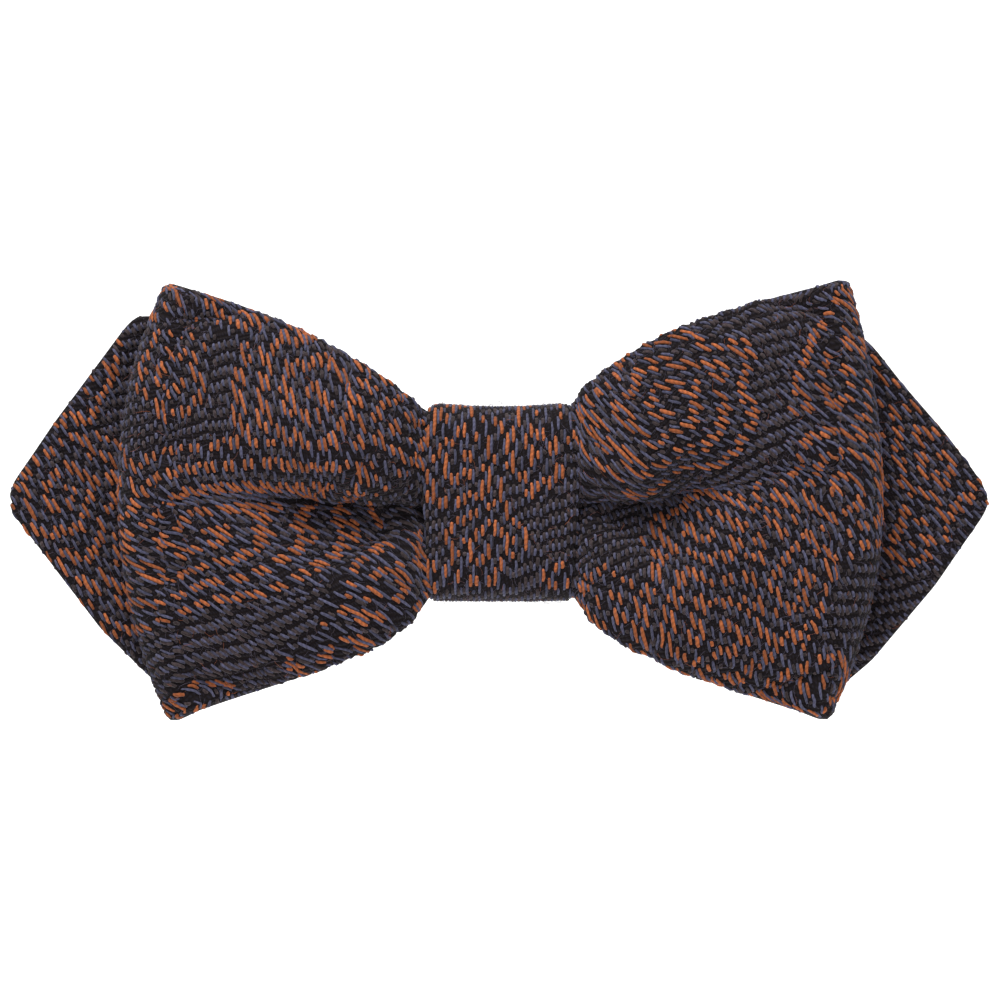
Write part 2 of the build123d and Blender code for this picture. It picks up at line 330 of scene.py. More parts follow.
def settle(middle, hold, settings):
    """Lets a grid of cloth swell and pucker in a short cloth simulation, and returns its new points.

    hold is true where the cloth is sewn or folded. No point moves beyond the limit."""
    rows, columns = middle.shape[:2]
    index = np.arange(rows * columns).reshape(rows, columns)
    quads = np.stack([index[:-1, :-1], index[1:, :-1], index[1:, 1:], index[:-1, 1:]], axis=-1).reshape(-1, 4)
    piece = mesh_object("settling_cloth", middle.reshape(-1, 3) * ENLARGED, quads.tolist())
    group = piece.vertex_groups.new(name="held")
    group.add([int(v) for v in np.flatnonzero(hold)], 1.0, "REPLACE")
    cloth = piece.modifiers.new("settle", "CLOTH")
    cloth.settings.quality = 5
    cloth.settings.mass = 0.3
    cloth.settings.tension_stiffness = 15
    cloth.settings.compression_stiffness = 15
    cloth.settings.shear_stiffness = 8
    cloth.settings.bending_stiffness = 4
    cloth.settings.shrink_min = -settings.cloth_swell
    cloth.settings.vertex_group_mass = "held"
    cloth.settings.pin_stiffness = 1
    cloth.settings.effector_weights.gravity = 0
    scene = bpy.context.scene
    for number in range(1, SETTLING_FRAMES + 1):
        scene.frame_set(number)
    settled = piece.evaluated_get(bpy.context.evaluated_depsgraph_get())
    points = np.empty(rows * columns * 3)
    settled.data.vertices.foreach_get("co", points)
    scene.frame_set(1)
    mesh = piece.data
    bpy.data.objects.remove(piece)
    bpy.data.meshes.remove(mesh)
    move = points.reshape(middle.shape) / MM / ENLARGED - middle
    length = np.linalg.norm(move, axis=-1, keepdims=True)
    limit = settings.settle_limit / MM
    return middle + move * np.minimum(1, limit / np.maximum(length, 1e-9))


# ---------------------------------------------------------------- yarns


class Lattice:
    """A cloth's outer face, sampled in even steps along and across it so that any point can be looked up."""

    STEP = 0.25

    def __init__(self, cloth):
        values = np.concatenate([cloth.face(1), grid_normals(cloth.face(1)), cloth.along[..., None]], axis=-1)
        low, high = cloth.across.min(), cloth.across.max()
        across = np.arange(low, high + self.STEP, self.STEP)
        table = np.array([[np.interp(across, b, row[:, k]) for k in range(7)]
                          for b, row in zip(cloth.across, values)]).transpose(0, 2, 1)
        beyond = across[None] - np.clip(across[None], cloth.across[:, :1], cloth.across[:, -1:])
        run = cloth.along[:, [3, -1]] - cloth.along[:, [0, -4]]
        rims = run / (cloth.across[:, [3, -1]] - cloth.across[:, [0, -4]])
        table[..., 6] += beyond * np.where(beyond < 0, rims[:, :1], rims[:, 1:])
        along = np.arange(cloth.along.min(), cloth.along.max() + self.STEP, self.STEP)
        self.table = np.zeros((len(along), len(across), 7))
        for m in range(len(across)):
            near = np.abs(beyond[:, m]) < 3
            if near.sum() < 2:
                continue
            a = table[near, m, 6]
            for k in range(6):
                self.table[:, m, k] = np.interp(along, a, table[near, m, k])
            self.table[:, m, 6] = np.interp(along, a, (beyond[near, m] == 0).astype(float), 0, 0)
        self.low = along[0], low
        self.high = along[-1], across[-1]

    def look_up(self, a, b):
        """Place, normal and whether the cloth is there, for lengths along and across."""
        rows, columns = self.table.shape[:2]
        i = np.clip((a - self.low[0]) / self.STEP, 0, rows - 1.001)
        j = np.clip((b - self.low[1]) / self.STEP, 0, columns - 1.001)
        i0, j0 = i.astype(int), j.astype(int)
        fi, fj = (i - i0)[..., None], (j - j0)[..., None]
        t = self.table
        value = mix(mix(t[i0, j0], t[i0 + 1, j0], fi), mix(t[i0, j0 + 1], t[i0 + 1, j0 + 1], fi), fj)
        normal = value[..., 3:6] / np.maximum(np.linalg.norm(value[..., 3:6], axis=-1, keepdims=True), 1e-9)
        there = (value[..., 6] > 0.6) & (a > self.low[0]) & (a < self.high[0])
        return value[..., :3], normal, there


class Swirl:
    """One paisley of the figure: rust bands that wind round its middle. Sizes are in millimetres."""

    def __init__(self, x, z, radius, stretch=1.0, lean=0.0, band=2.9, start=0.0):
        self.middle = x, z
        self.radius = radius
        self.stretch = stretch
        self.lean = math.radians(lean)
        self.band = band
        self.start = start

    def masks(self, x, z):
        """Whether points lie in the paisley, and whether they lie in one of its rust bands."""
        dx, dz = x - self.middle[0], z - self.middle[1]
        p = (dx * math.cos(self.lean) + dz * math.sin(self.lean)) / self.stretch
        q = -dx * math.sin(self.lean) + dz * math.cos(self.lean)
        turn = np.arctan2(q, p)
        wave = 1 + 0.09 * np.sin(5 * turn + self.start) + 0.05 * np.sin(8 * turn)
        reach = np.hypot(p, q) / wave
        inside = reach < self.radius * 1.12
        beat = (reach / self.band + turn / math.tau + self.start) % 1
        return inside, inside & (beat < 0.66)


# Each paisley: x, z, radius, stretch, lean in degrees, band, start
SWIRLS = [Swirl(*sizes) for sizes in (
    (-23.0, 13.0, 9.6, 1.15, 115, 3.0, 0.1), (-39.8, 15.3, 4.3, 1.3, 100, 2.4, 0.4),
    (-32.0, 3.4, 4.0, 2.3, 8, 2.2, 0.2), (-12.0, 9.0, 4.6, 1.2, 60, 2.4, 0.7),
    (-31.5, 23.0, 3.2, 2.0, -20, 2.4, 0.0), (-41.5, 24.0, 2.2, 1.4, 60, 2.0, 0.3),
    (-36.0, -4.0, 9.6, 2.3, 16, 2.5, 0.0), (-14.5, -10.5, 5.0, 1.5, 50, 2.4, 0.5),
    (-37.5, -24.6, 2.2, 2.2, 20, 2.2, 0.2), (-20.0, -18.5, 2.6, 2.4, 18, 2.2, 0.6),
    (20.4, 11.8, 8.8, 1.25, 25, 2.9, 0.35), (42.0, 15.0, 6.2, 1.7, 82, 2.5, 0.1),
    (20.0, 23.2, 1.5, 5.0, 24, 2.0, 0.0), (42.0, 1.5, 8.4, 1.1, 30, 2.8, 0.6),
    (25.5, -3.6, 5.0, 1.5, 5, 2.3, 0.2), (27.5, -16.0, 8.8, 1.25, -30, 2.9, 0.7),
    (36.5, -10.0, 4.4, 1.7, 70, 2.4, 0.0), (13.0, -12.5, 3.8, 1.2, -60, 2.2, 0.4),
    (39.0, -22.0, 3.8, 1.4, 40, 2.4, 0.2), (-54.0, 1.0, 7.6, 1.2, 70, 2.7, 0.25),
    (-51.0, 15.0, 3.6, 1.8, 60, 2.4, 0.5), (-51.5, -10.5, 2.6, 1.4, 120, 2.2, 0.1),
    (54.5, 5.0, 5.6, 1.5, 120, 2.6, 0.3), (51.5, -5.5, 3.0, 1.4, 30, 2.2, 0.8),
    (48.5, 16.0, 2.8, 1.5, 120, 2.2, 0.4), (-4.8, 5.0, 5.4, 1.2, 80, 2.5, 0.1),
    (4.6, 6.0, 3.6, 1.5, 100, 2.3, 0.6), (-2.0, -5.8, 4.6, 1.2, 60, 2.4, 0.3),
    (7.6, -9.5, 2.0, 1.4, 0, 2.0, 0.2),
)]


def figure(x, z):
    """Whether points lie in the jacquard's paisleys, and whether in a rust band."""
    bloom = np.zeros(x.shape, bool)
    rust = np.zeros(x.shape, bool)
    for swirl in SWIRLS:
        inside, band = swirl.masks(x, z)
        rust = (rust & ~inside) | band
        bloom |= inside
    return bloom, rust


def stretches(flags):
    """First and last index of each stretch of true flags."""
    edges = np.flatnonzero(np.diff(np.concatenate([[0], flags.astype(int), [0]])))
    return zip(edges[::2], edges[1::2] - 1)


STATIONS = np.array([0.0, 0.12, 0.37, 0.63, 0.88, 1.0])  # where a float is shaped, as shares of its length
RUST_REPEAT, SLATE_REPEAT, GROUND_REPEAT = 4.1, 2.9, 1.66  # from one float of a yarn to the next
TWILL = 0.27  # how much each row of the twill climbs for its length


def weave(lattice, columns, shown, random):
    """Paths of the surface yarns' floats, by colour. Every second column carries rust, the others slate."""
    floats = {"rust": [], "slate": [], "charcoal": []}

    def lay(colour, on, shortest, a, b, length):
        for first, last in stretches(on):
            if length[last] - length[first] >= shortest:
                at = mix(length[first], length[last], STATIONS)
                floats[colour].append(np.stack([np.interp(at, length, a), np.interp(at, length, b)], axis=-1))

    for number, a, b, row, keep in columns:
        place, normal, there = lattice.look_up(a, b)
        there &= keep & shown(place, normal)
        if there.sum() < 4:
            continue
        length = np.concatenate([[0], np.cumsum(np.hypot(np.diff(a), np.diff(b)))])
        bloom, rust = figure(place[:, 0], place[:, 2])
        pair = number // 2
        jitter = 0.14 * random.normal()
        ground = (row + jitter) / GROUND_REPEAT
        if number % 2 == 0:
            phase = (row + 1.31 * pair + jitter) / RUST_REPEAT % 1
            lay("rust", there & rust & (phase > 0.1), 0.85, a, b, length)
            lay("charcoal", there & ~rust & ((ground + 0.42) % 1 > 0.2), 0.5, a, b, length)
        else:
            phase = (row + 1.07 * pair + jitter) / SLATE_REPEAT % 1
            on = np.where(rust, phase > 0.3, np.where(bloom, phase > 0.16, ground % 1 < 0.7))
            lay("slate", there & on, 0.55, a, b, length)
    return floats


def yarn_template():
    """One float of yarn, a five-sided bead closed at both ends: each vertex's station, turn and radius."""
    bpy.ops.object.select_all(action="DESELECT")
    bpy.ops.mesh.primitive_uv_sphere_add(segments=5, ring_count=5, radius=1, location=(0, 0, 0))
    bead = bpy.context.object
    points = np.array([v.co for v in bead.data.vertices])
    faces = np.array([list(p.vertices) + [-1] * (4 - len(p.vertices)) for p in bead.data.polygons])
    mesh = bead.data
    bpy.data.objects.remove(bead)
    bpy.data.meshes.remove(mesh)
    levels = np.unique(np.round(points[:, 2], 5))
    station = np.searchsorted(levels, np.round(points[:, 2], 5))
    turn = np.arctan2(points[:, 1], points[:, 0])
    radius = np.where((station == 0) | (station == len(levels) - 1), 0.0, 1.0)
    return station, turn, radius, faces


def cells(count, spot):
    """A square sheet of cells, one for each of count copies, with a copy's vertices at their spots in it."""
    side = math.ceil(math.sqrt(count))
    cell = np.stack([np.arange(count) % side, np.arange(count) // side], axis=-1)[:, None, :]
    return (cell + 0.08 + 0.84 * spot[None]) / side


def shade_copies(mesh, copies, each, random):
    """A shade for every copy in a mesh, on each of its vertices."""
    shade = np.repeat(random.random(copies), each).astype(np.float32)
    mesh.attributes.new("shade", "FLOAT", "POINT").data.foreach_set("value", shade)


def spin(name, lattice, paths, share, settings, random):
    """One mesh of yarn floats, each following its path over the cloth and dipping into it at both ends."""
    station, turn, radius, template = yarn_template()
    paths = np.array(paths)
    place, normal, _ = lattice.look_up(paths[..., 0], paths[..., 1])
    tangent = np.gradient(place, axis=1)
    tangent /= np.maximum(np.linalg.norm(tangent, axis=-1, keepdims=True), 1e-9)
    sideways = np.cross(normal, tangent)
    rise = settings.yarn_rise / MM
    width = settings.yarn_width / MM / 2 * random.uniform(0.84, 1.1, len(paths)) * share
    lift = np.array([-0.9, -0.1, 0.35, 0.35, -0.1, -0.9]) * rise
    height = np.array([0.0, 0.8, 1.0, 1.0, 0.8, 0.0]) * rise
    girth = np.array([0.0, 0.8, 1.0, 1.0, 0.8, 0.0])
    sway = random.normal(0, 0.035, (len(paths), len(lift)))
    jump = random.uniform(-0.04, 0.06, (len(paths), 1))
    centre = place + normal * (lift[None] + jump)[..., None] + sideways * sway[..., None]
    out = (height[station] * np.cos(turn) * radius)[None, :, None] * normal[:, station]
    over = (girth[station] * np.sin(turn) * radius)[None] * width[:, None]
    points = centre[:, station] + out + over[..., None] * sideways[:, station]
    count = len(station)
    one = [[v for v in face if v >= 0] for face in template.tolist()]
    faces = [[v + number * count for v in face] for number in range(len(paths)) for face in one]
    piece = mesh_object(name, points.reshape(-1, 3), faces)
    mesh = piece.data
    run = running_length(place, 1)
    round_it = np.broadcast_to(turn / math.tau, (len(paths), count))
    corner_values(mesh, "Yarn", np.stack([run[:, station], round_it], axis=-1))
    spot = np.stack([station / (len(lift) - 1), (turn / math.tau) % 1], axis=-1)
    corner_values(mesh, "OFBake", cells(len(paths), spot))
    shade_copies(mesh, len(paths), count, random)
    return piece


def fuzz(name, lattice, paths, random):
    """Fine loose fibres that stand off a cloth near its yarns."""
    chosen = np.array(paths)[random.integers(0, len(paths), int(len(paths) * 0.9))]
    count = len(chosen)
    start = mix(chosen[:, 1], chosen[:, 4], random.random((count, 1)))
    heading = random.uniform(0, math.tau, count)[:, None]
    heading = heading + np.cumsum(random.normal(0, 0.45, (count, 6)), axis=1)
    step = random.uniform(0.12, 0.4, (count, 1))
    a = start[:, :1] + np.cumsum(np.cos(heading) * step, axis=1)
    b = start[:, 1:] + np.cumsum(np.sin(heading) * step, axis=1)
    place, normal, there = lattice.look_up(a, b)
    keep = there.all(axis=1) & (np.linalg.norm(np.diff(place, axis=1), axis=-1).max(axis=1) < 0.7)
    place, normal = place[keep], normal[keep]
    arch = np.array([-0.3, 0.5, 1.0, 1.15, 0.9, 0.4]) * random.gamma(2.0, 0.17, (len(place), 1))
    centre = place + normal * arch[..., None]
    tangent = np.gradient(centre, axis=1)
    tangent /= np.maximum(np.linalg.norm(tangent, axis=-1, keepdims=True), 1e-9)
    side = np.cross(normal, tangent)
    girth = np.array([1.0, 1.0, 0.9, 0.8, 0.6, 0.25]) * 0.017
    turns = np.arange(3) / 3 * math.tau
    ring = side[:, :, None] * np.cos(turns)[:, None] + normal[:, :, None] * np.sin(turns)[:, None]
    points = centre[:, :, None] + ring * girth[:, None, None]
    one = [[i * 3 + j, i * 3 + (j + 1) % 3, i * 3 + 3 + (j + 1) % 3, i * 3 + 3 + j]
           for i in range(5) for j in range(3)]
    one += [[2, 1, 0], [15, 16, 17]]
    faces = [[v + 18 * number for v in face] for number in range(len(place)) for face in one]
    piece = mesh_object(name, points.reshape(-1, 3), faces)
    spot = np.stack(np.meshgrid(np.arange(6) / 5, np.arange(3) / 2, indexing="ij"), axis=-1).reshape(-1, 2)
    corner_values(piece.data, "OFBake", cells(len(place), spot))
    shade_copies(piece.data, len(place), 18, random)
    return piece


YARN_SHARES = {"rust": 1.25, "slate": 0.98, "charcoal": 1.25}  # each yarn's width, as a share of the setting


def dress(name, cloth, columns, shown, seed):
    """The surface yarns over one cloth, as one piece for each colour."""
    settings = bpy.context.scene.bow_tie_cloth
    random = np.random.default_rng(seed)
    lattice = Lattice(cloth)
    pieces = []
    floats = weave(lattice, columns, shown, random)
    for colour, paths in floats.items():
        piece = spin(f"{name}_{colour}_yarns", lattice, paths, YARN_SHARES[colour], settings, random)
        material = yarn_material(colour.capitalize() + " yarn", getattr(settings, colour))
        pieces.append(put(piece, material))
    loose = fuzz(f"{name}_loose_fibres", lattice, sum(floats.values(), []), random)
    return pieces + [put(loose, fibre_material("Loose fibre"))]


FINE = 0.12  # step along a yarn's path


def bent_columns(fold, upper, lower, low, high, reach):
    """Yarn columns over one wing of the loop, whose run leans differently above and below the pleat.

    The leans, in degrees, are from the strip's length; fold is where the two halves' columns meet."""
    pitch = bpy.context.scene.bow_tie_cloth.yarn_pitch / MM
    b = np.arange(-reach, reach, FINE)
    share = smooth((b + 3) / 6)
    lean = np.radians(mix(lower, upper, share))
    drift = np.cumsum(np.cos(lean)) * FINE
    drift -= np.interp(0, b, drift)
    bend = np.gradient(lean, FINE)
    ends = [(low - fold) * np.sin(lean) + drift, (high - fold) * np.sin(lean) + drift]
    for number in range(math.floor(np.min(ends) / pitch), math.ceil(np.max(ends) / pitch)):
        a = fold + (number * pitch - drift) / np.sin(lean)
        crowding = np.hypot(np.sin(lean), np.cos(lean) * (1 + (a - fold) * bend))
        yield number, a, b, b - TWILL * a, (a > low) & (a < high) & (crowding < 2.1)


def straight_columns(lean, low, high, reach):
    """Yarn columns over a flat cloth, all at one lean from its length, in degrees."""
    yield from bent_columns(0, lean, lean, low, high, reach)


def upright_columns(low, high, half):
    """Yarn columns along a band's length."""
    pitch = bpy.context.scene.bow_tie_cloth.yarn_pitch / MM
    a = np.arange(low, high, FINE)
    for number in range(math.ceil(-half / pitch), math.floor(half / pitch) + 1):
        b = np.full(a.shape, number * pitch)
        yield number, a, b, a + 0.3 * b, np.ones(a.shape, bool)


# ---------------------------------------------------------------- front loop

# Edges of the two wings, as shares of the loop's half width and half height
TOPS = {
    -1: ((0.199, 0.405), (0.360, 0.675), (0.593, 0.882), (0.873, 0.998)),
    1: ((0.191, 0.436), (0.342, 0.795), (0.614, 0.885), (0.911, 1.020)),
}
BOTTOMS = {
    -1: ((0.191, -0.432), (0.297, -0.741), (0.551, -0.790), (0.866, -1.003)),
    1: ((0.197, -0.425), (0.290, -0.696), (0.560, -0.835), (0.860, -0.998)),
}
FOLDS = {
    -1: ((0.873, 0.993), (1.017, 0.481), (1.059, -0.185), (0.866, -1.0)),
    1: ((0.911, 1.011), (0.981, 0.556), (1.087, -0.111), (0.860, -0.996)),
}
PLEAT_START, PLEAT_ENDS = 20, {-1: 45.0, 1: 39.0}  # between which the pleat fades, in millimetres out
PLEAT_LINES = {  # places along the pleat, and its height there
    -1: ((9, 20, 30, 43), (0.0, 0.5, 0.8, 1.3)),
    1: ((9, 20, 31, 37), (0.5, 0.8, 1.9, 2.6)),
}
LOBE_START, LOBE_REACH = 6.8, 15.5  # where a lobe starts to swell, and how far out it takes


def edge_height(edge, t, bend_room):
    """Height of a wing's turned edge, t of the way to where the fold bends, and its height at the corner.

    In the knot it eases in to the waist."""
    points = curve(edge)
    x = t * (points[-1, 0] - bend_room)
    waist = math.copysign(WAIST_HALF, points[0, 1])
    inside = mix(waist, points[0, 1], smooth((x - 6.5) / (points[0, 0] - 6.5)))
    return np.where(x < points[0, 0], inside, np.interp(x, points[:, 0], points[:, 1])), points[-1, 1]


def wing(side, settings, v):
    """One wing of the loop: its front layer from the waist out, its fold, and its rear layer back in.

    v runs from -1 at the lower turned edge, through 0 in the pleat, to 1 at the upper turned edge."""
    t = (mix(np.linspace(0, 1, 96), np.linspace(0, 1, 96) ** 1.3, 0.6))[:, None]
    v = v[None, :]
    fold_radius = settings.fold_radius / MM * (1 - 0.22 * v ** 2)
    bend_room = CLOTH / 2 + fold_radius[0, 0]
    top, top_end = edge_height(TOPS[side], t, bend_room)
    bottom, bottom_end = edge_height(BOTTOMS[side], t, bend_room)
    out = t * LOOP_HIGH[0]
    pleat = 1 - smooth((out - PLEAT_START) / (PLEAT_ENDS[side] - PLEAT_START))
    depth = np.sin(np.clip((out - LOBE_START) / LOBE_REACH, 0, 1) * math.pi / 2)
    crown = WAIST_Y - settings.lobe_rise / MM * depth
    crown = mix(crown, REAR_Y - 2 * settings.fold_radius / MM, smooth((out - 24) / 21))
    crease = np.interp(out, *PLEAT_LINES[side])
    pleat_y = mix(crown, WAIST_Y + 0.4, pleat)
    lip = settings.pleat_lip / MM
    up, down = np.clip(v, 0, 1), np.clip(v + 1, 0, 1)
    upper_z = cubic(crease, mix(crease + (top - crease) / 3, crease + 0.2, pleat),
                    mix(0.66, 0.5, pleat) * top, top, up)
    upper_y = cubic(pleat_y, mix(crown, mix(pleat_y, crown - lip * depth, 0.85), pleat),
                    crown - 1.8 * depth, crown + 2.4 * depth, up)
    lower_z = cubic(bottom, 0.66 * bottom, mix(crease + bottom / 3, crease - 2.4, pleat), crease, down)
    lower_y = cubic(crown + 2.4 * depth, crown - 1.2 * depth,
                    mix(crown, mix(pleat_y, crown, 0.8), pleat), pleat_y, down)
    z = np.where(v > 0, upper_z, lower_z)
    y = np.where(v > 0, upper_y, lower_y)
    y = mix(y, REAR_Y - 2 * fold_radius, smooth((t - 0.72) / 0.28))
    z_out = z[-1:] * np.where(v > 0, top_end / top[-1], bottom_end / bottom[-1])
    fold_line = curve(FOLDS[side])[::-1]
    fold_x = np.interp(z_out[0], fold_line[:, 1], fold_line[:, 0])[None, :] - CLOTH / 2 - fold_radius
    front = np.stack([side * t * fold_x, y, z], axis=-1)
    flat_top, flat_bottom = top * 0.985, bottom * 0.985
    rear_z = np.where(v > 0, mix(0, flat_top, up), mix(flat_bottom, 0, down)) + 0 * t
    bend = np.linspace(0, math.pi, 15)[1:-1][:, None]
    bend_z = mix(z[-1:], rear_z[-1:], bend / math.pi) + (z_out - z[-1:]) * np.sin(bend)
    bend_x = fold_x + fold_radius * np.sin(bend)
    bend_y = REAR_Y - fold_radius - fold_radius * np.cos(bend)
    fold = np.stack([side * bend_x, bend_y, bend_z], axis=-1)
    inward = np.linspace(len(t) - 1, 0, 40).astype(int)
    rear_x = np.maximum(t[inward] * fold_x, 0.2)
    rear = np.stack([side * rear_x, np.full(rear_x.shape, REAR_Y), rear_z[inward]], axis=-1)
    return front, fold, rear


def front_loop_cloth(settings):
    """The whole strip, from its raw end behind the waist, round both folds, to its other raw end."""
    half = np.linspace(0, 1, 31)
    up = np.sin(half[1:] * math.pi / 2) * 0.5 + half[1:] * 0.5
    v = np.concatenate([-np.flip(up), [0], up])
    left, right = wing(-1, settings, v), wing(1, settings, v)
    middle = np.concatenate([
        np.flip(left[2], 0), np.flip(left[1], 0), np.flip(left[0], 0),
        right[0][1:], right[1], right[2]])
    waist_row = sum(len(part) for part in left) - 1
    x = np.abs(middle[..., 0])
    held = (x < 11) | (middle[..., 1] > REAR_Y - 3) | (np.abs(v)[None] > 0.97) | (x > 41)
    middle = settle(middle, held, settings)
    return Cloth(middle, CLOTH, 1.25, waist_row, len(half) - 1)


TURNING = 7  # cloth turned in along a strip's long seam


class BOWTIE_OT_front_loop(bpy.types.Operator):
    """Make the front bow: a flattened tube of jacquard folded into a loop, with its canvas and yarns"""

    bl_idname = "bowtie.front_loop"
    bl_label = "Front loop"

    def execute(self, context):
        cloth = front_loop_cloth(context.scene.bow_tie_shape)
        loop = tube("front_loop_cloth", cloth, cloth.inset(WALL, WALL + 0.06, 0.4))
        put(loop, ground_material("Jacquard ground"), "front_loop_shell")
        canvas = slab("front_loop_canvas", cloth.inset(WALL + 0.1, WALL, 0.3))
        put(canvas, canvas_material("Canvas"), "front_loop_interlining")

        def shown(place, normal):
            return np.abs(place[:, 0]) > KNOT_SIDE - 1.2

        reach = np.abs(cloth.across).max()
        end = np.abs(cloth.along).max()
        yarns = dress("left_wing", cloth, bent_columns(-44, 66, 36, -end, 0, reach), shown, 11)
        yarns += dress("right_wing", cloth, bent_columns(44, 45, 65, 0, end, reach), shown, 12)
        # The cut is twice the finished height at the waist, for the pleat, and tapers out to the full height.
        fold_radius = context.scene.bow_tie_shape.fold_radius / MM
        length = 2 * (LOOP_HIGH[0] - LOOP_LOW[0]) + 2 * (math.pi - 2) * fold_radius
        height, waist = LOOP_HIGH[2] - LOOP_LOW[2], 4 * WAIST_HALF
        strip = length * (height + waist) / 2
        2 * (height + TURNING) * MM
        length * MM
        2 * strip * MM * MM
        height * MM
        length * MM
        strip * MM * MM
        return {"FINISHED"}


# ---------------------------------------------------------------- back blade


# The blade's edges from the neck to the points, by side and by upper (1) or lower (-1) edge, in millimetres
NECK = ((0, 8.8), (6.5, 8.8), (9.5, 11.3), (20, 16.0), (31, 20.2))
BLADE_EDGES = {
    (-1, 1): ((41, 22.8), (44.9, 22.7), (46.2, 21.4), (54.9, 9.7),
              (57.4, 6.0), (59.2, 3.4), (60.2, 1.9), (60.4, 0)),
    (-1, -1): ((39, 22.8), (42.0, 22.5), (44.1, 20.5), (49.2, 15.5),
               (56.4, 6.0), (58.9, 2.8), (60.1, 1.2), (60.4, 0)),
    (1, 1): ((39, 22.7), (42.5, 22.2), (46.1, 18.9), (49.4, 14.7),
             (55.0, 8.2), (58.3, 3.8), (59.7, 1.7), (60.1, 0)),
    (1, -1): ((39, 22.8), (42.5, 22.2), (45.8, 19.4), (53.5, 10.3),
              (57.0, 5.2), (58.8, 2.6), (59.7, 1.3), (60.1, 0)),
}


POINTED = 56  # beyond this the blade's rows are closer together
BODY_ROWS, POINT_ROWS = 190, 24


def blade_half_height(x, edge):
    """How far the blade's upper or lower edge stands from its middle line, at places along it."""
    fine = np.linspace(-61, 61, 2441)
    height = np.zeros(fine.shape)
    for side in (-1, 1):
        points = np.array(NECK + BLADE_EDGES[side, edge])
        here = fine * side >= 0
        height[here] = np.interp(np.abs(fine[here]), points[:, 0], points[:, 1], right=0)
    soft = np.convolve(height, np.hanning(33) / np.hanning(33).sum(), "same")
    soft = np.where(np.abs(fine) > 59.4, np.minimum(soft, height), soft)
    return np.maximum(np.interp(x, fine, soft), 0.2)


def blade_grid(y, turn_back, facing):
    """Middle of one of the blade's cloths. Its edge turns towards the other cloth; facing -1 is the front."""
    tip = FACE_HIGH[0] - 0.05
    near_tip = np.linspace(POINTED, tip, POINT_ROWS)
    x = np.concatenate([-near_tip[::-1], np.linspace(-POINTED, POINTED, BODY_ROWS)[1:-1], near_tip])
    half = np.linspace(0, 1, 25)
    v = np.concatenate([-np.flip(np.sin(half[1:] * math.pi / 2)), [0], np.sin(half[1:] * math.pi / 2)])[None]
    height = np.where(v > 0, blade_half_height(x, 1)[:, None], blade_half_height(x, -1)[:, None])
    z = v * height
    to_edge = np.clip((height - np.abs(z)) / 1.5, 0, 1)
    back = turn_back * (1 - np.sqrt(1 - (1 - to_edge) ** 2))
    ripple = 0.12 * np.sin(x[:, None] * 0.9 + 2 * v) * np.cos(z * 0.55)
    ripple *= smooth((np.abs(x[:, None]) - 20) / 20)
    ripple *= to_edge
    points = np.stack([x[:, None] + 0 * z, y + back + ripple, z], axis=-1)
    return points if facing < 0 else points[::-1]


class BOWTIE_OT_back_blade(bpy.types.Operator):
    """Make the back bow: a flat blade with two diamond points, face and lining sewn round a canvas"""

    bl_idname = "bowtie.back_blade"
    bl_label = "Back blade"

    def execute(self, context):
        rows = BODY_ROWS + 2 * POINT_ROWS - 2
        face = Cloth(blade_grid(FACE_LOW[1] + WALL / 2, 0.95, -1), WALL, 0.4, rows // 2, 24, True)
        lining = Cloth(blade_grid(LINING_HIGH[1] - WALL / 2, -0.5, 1), WALL, 0.4, rows // 2, 24, True)
        canvas = Cloth(blade_grid(FACE_LOW[1] + WALL * 1.5, 0, -1), WALL, 0.4, rows // 2, 24, True)
        canvas = canvas.inset(1.4, WALL, 0.4)
        jacquard, plain = ground_material("Jacquard ground"), canvas_material("Canvas")
        pieces = [
            put(slab("back_blade_face_cloth", face), jacquard, "back_blade_face"),
            put(slab("back_blade_lining_cloth", lining), jacquard, "back_blade_lining"),
            put(slab("back_blade_canvas", canvas), plain, "back_blade_interlining"),
        ]
        tip, reach = FACE_HIGH[0] + 1, FACE_HIGH[2] + 1

        def beyond_loop(place, normal):
            return np.abs(place[:, 0]) > 0.6 * FACE_HIGH[0]

        def beyond_knot(place, normal):
            return np.abs(place[:, 0]) > KNOT_SIDE - 2.5

        face_yarns = dress("blade_left", face, straight_columns(60, -tip, 0, reach), beyond_loop, 21)
        face_yarns += dress("blade_right", face, straight_columns(50, 0, tip, reach), beyond_loop, 22)
        lining_yarns = dress("lining", lining, straight_columns(58, -tip, tip, reach), beyond_knot, 23)
        x = np.linspace(-tip, tip, 400)
        area = np.mean(blade_half_height(x, 1) + blade_half_height(x, -1)) * 2 * tip * MM * MM
        return {"FINISHED"}


# ---------------------------------------------------------------- knot


KNOT_BEND = 2.4  # radius of the band's corners, to the middle of its wall


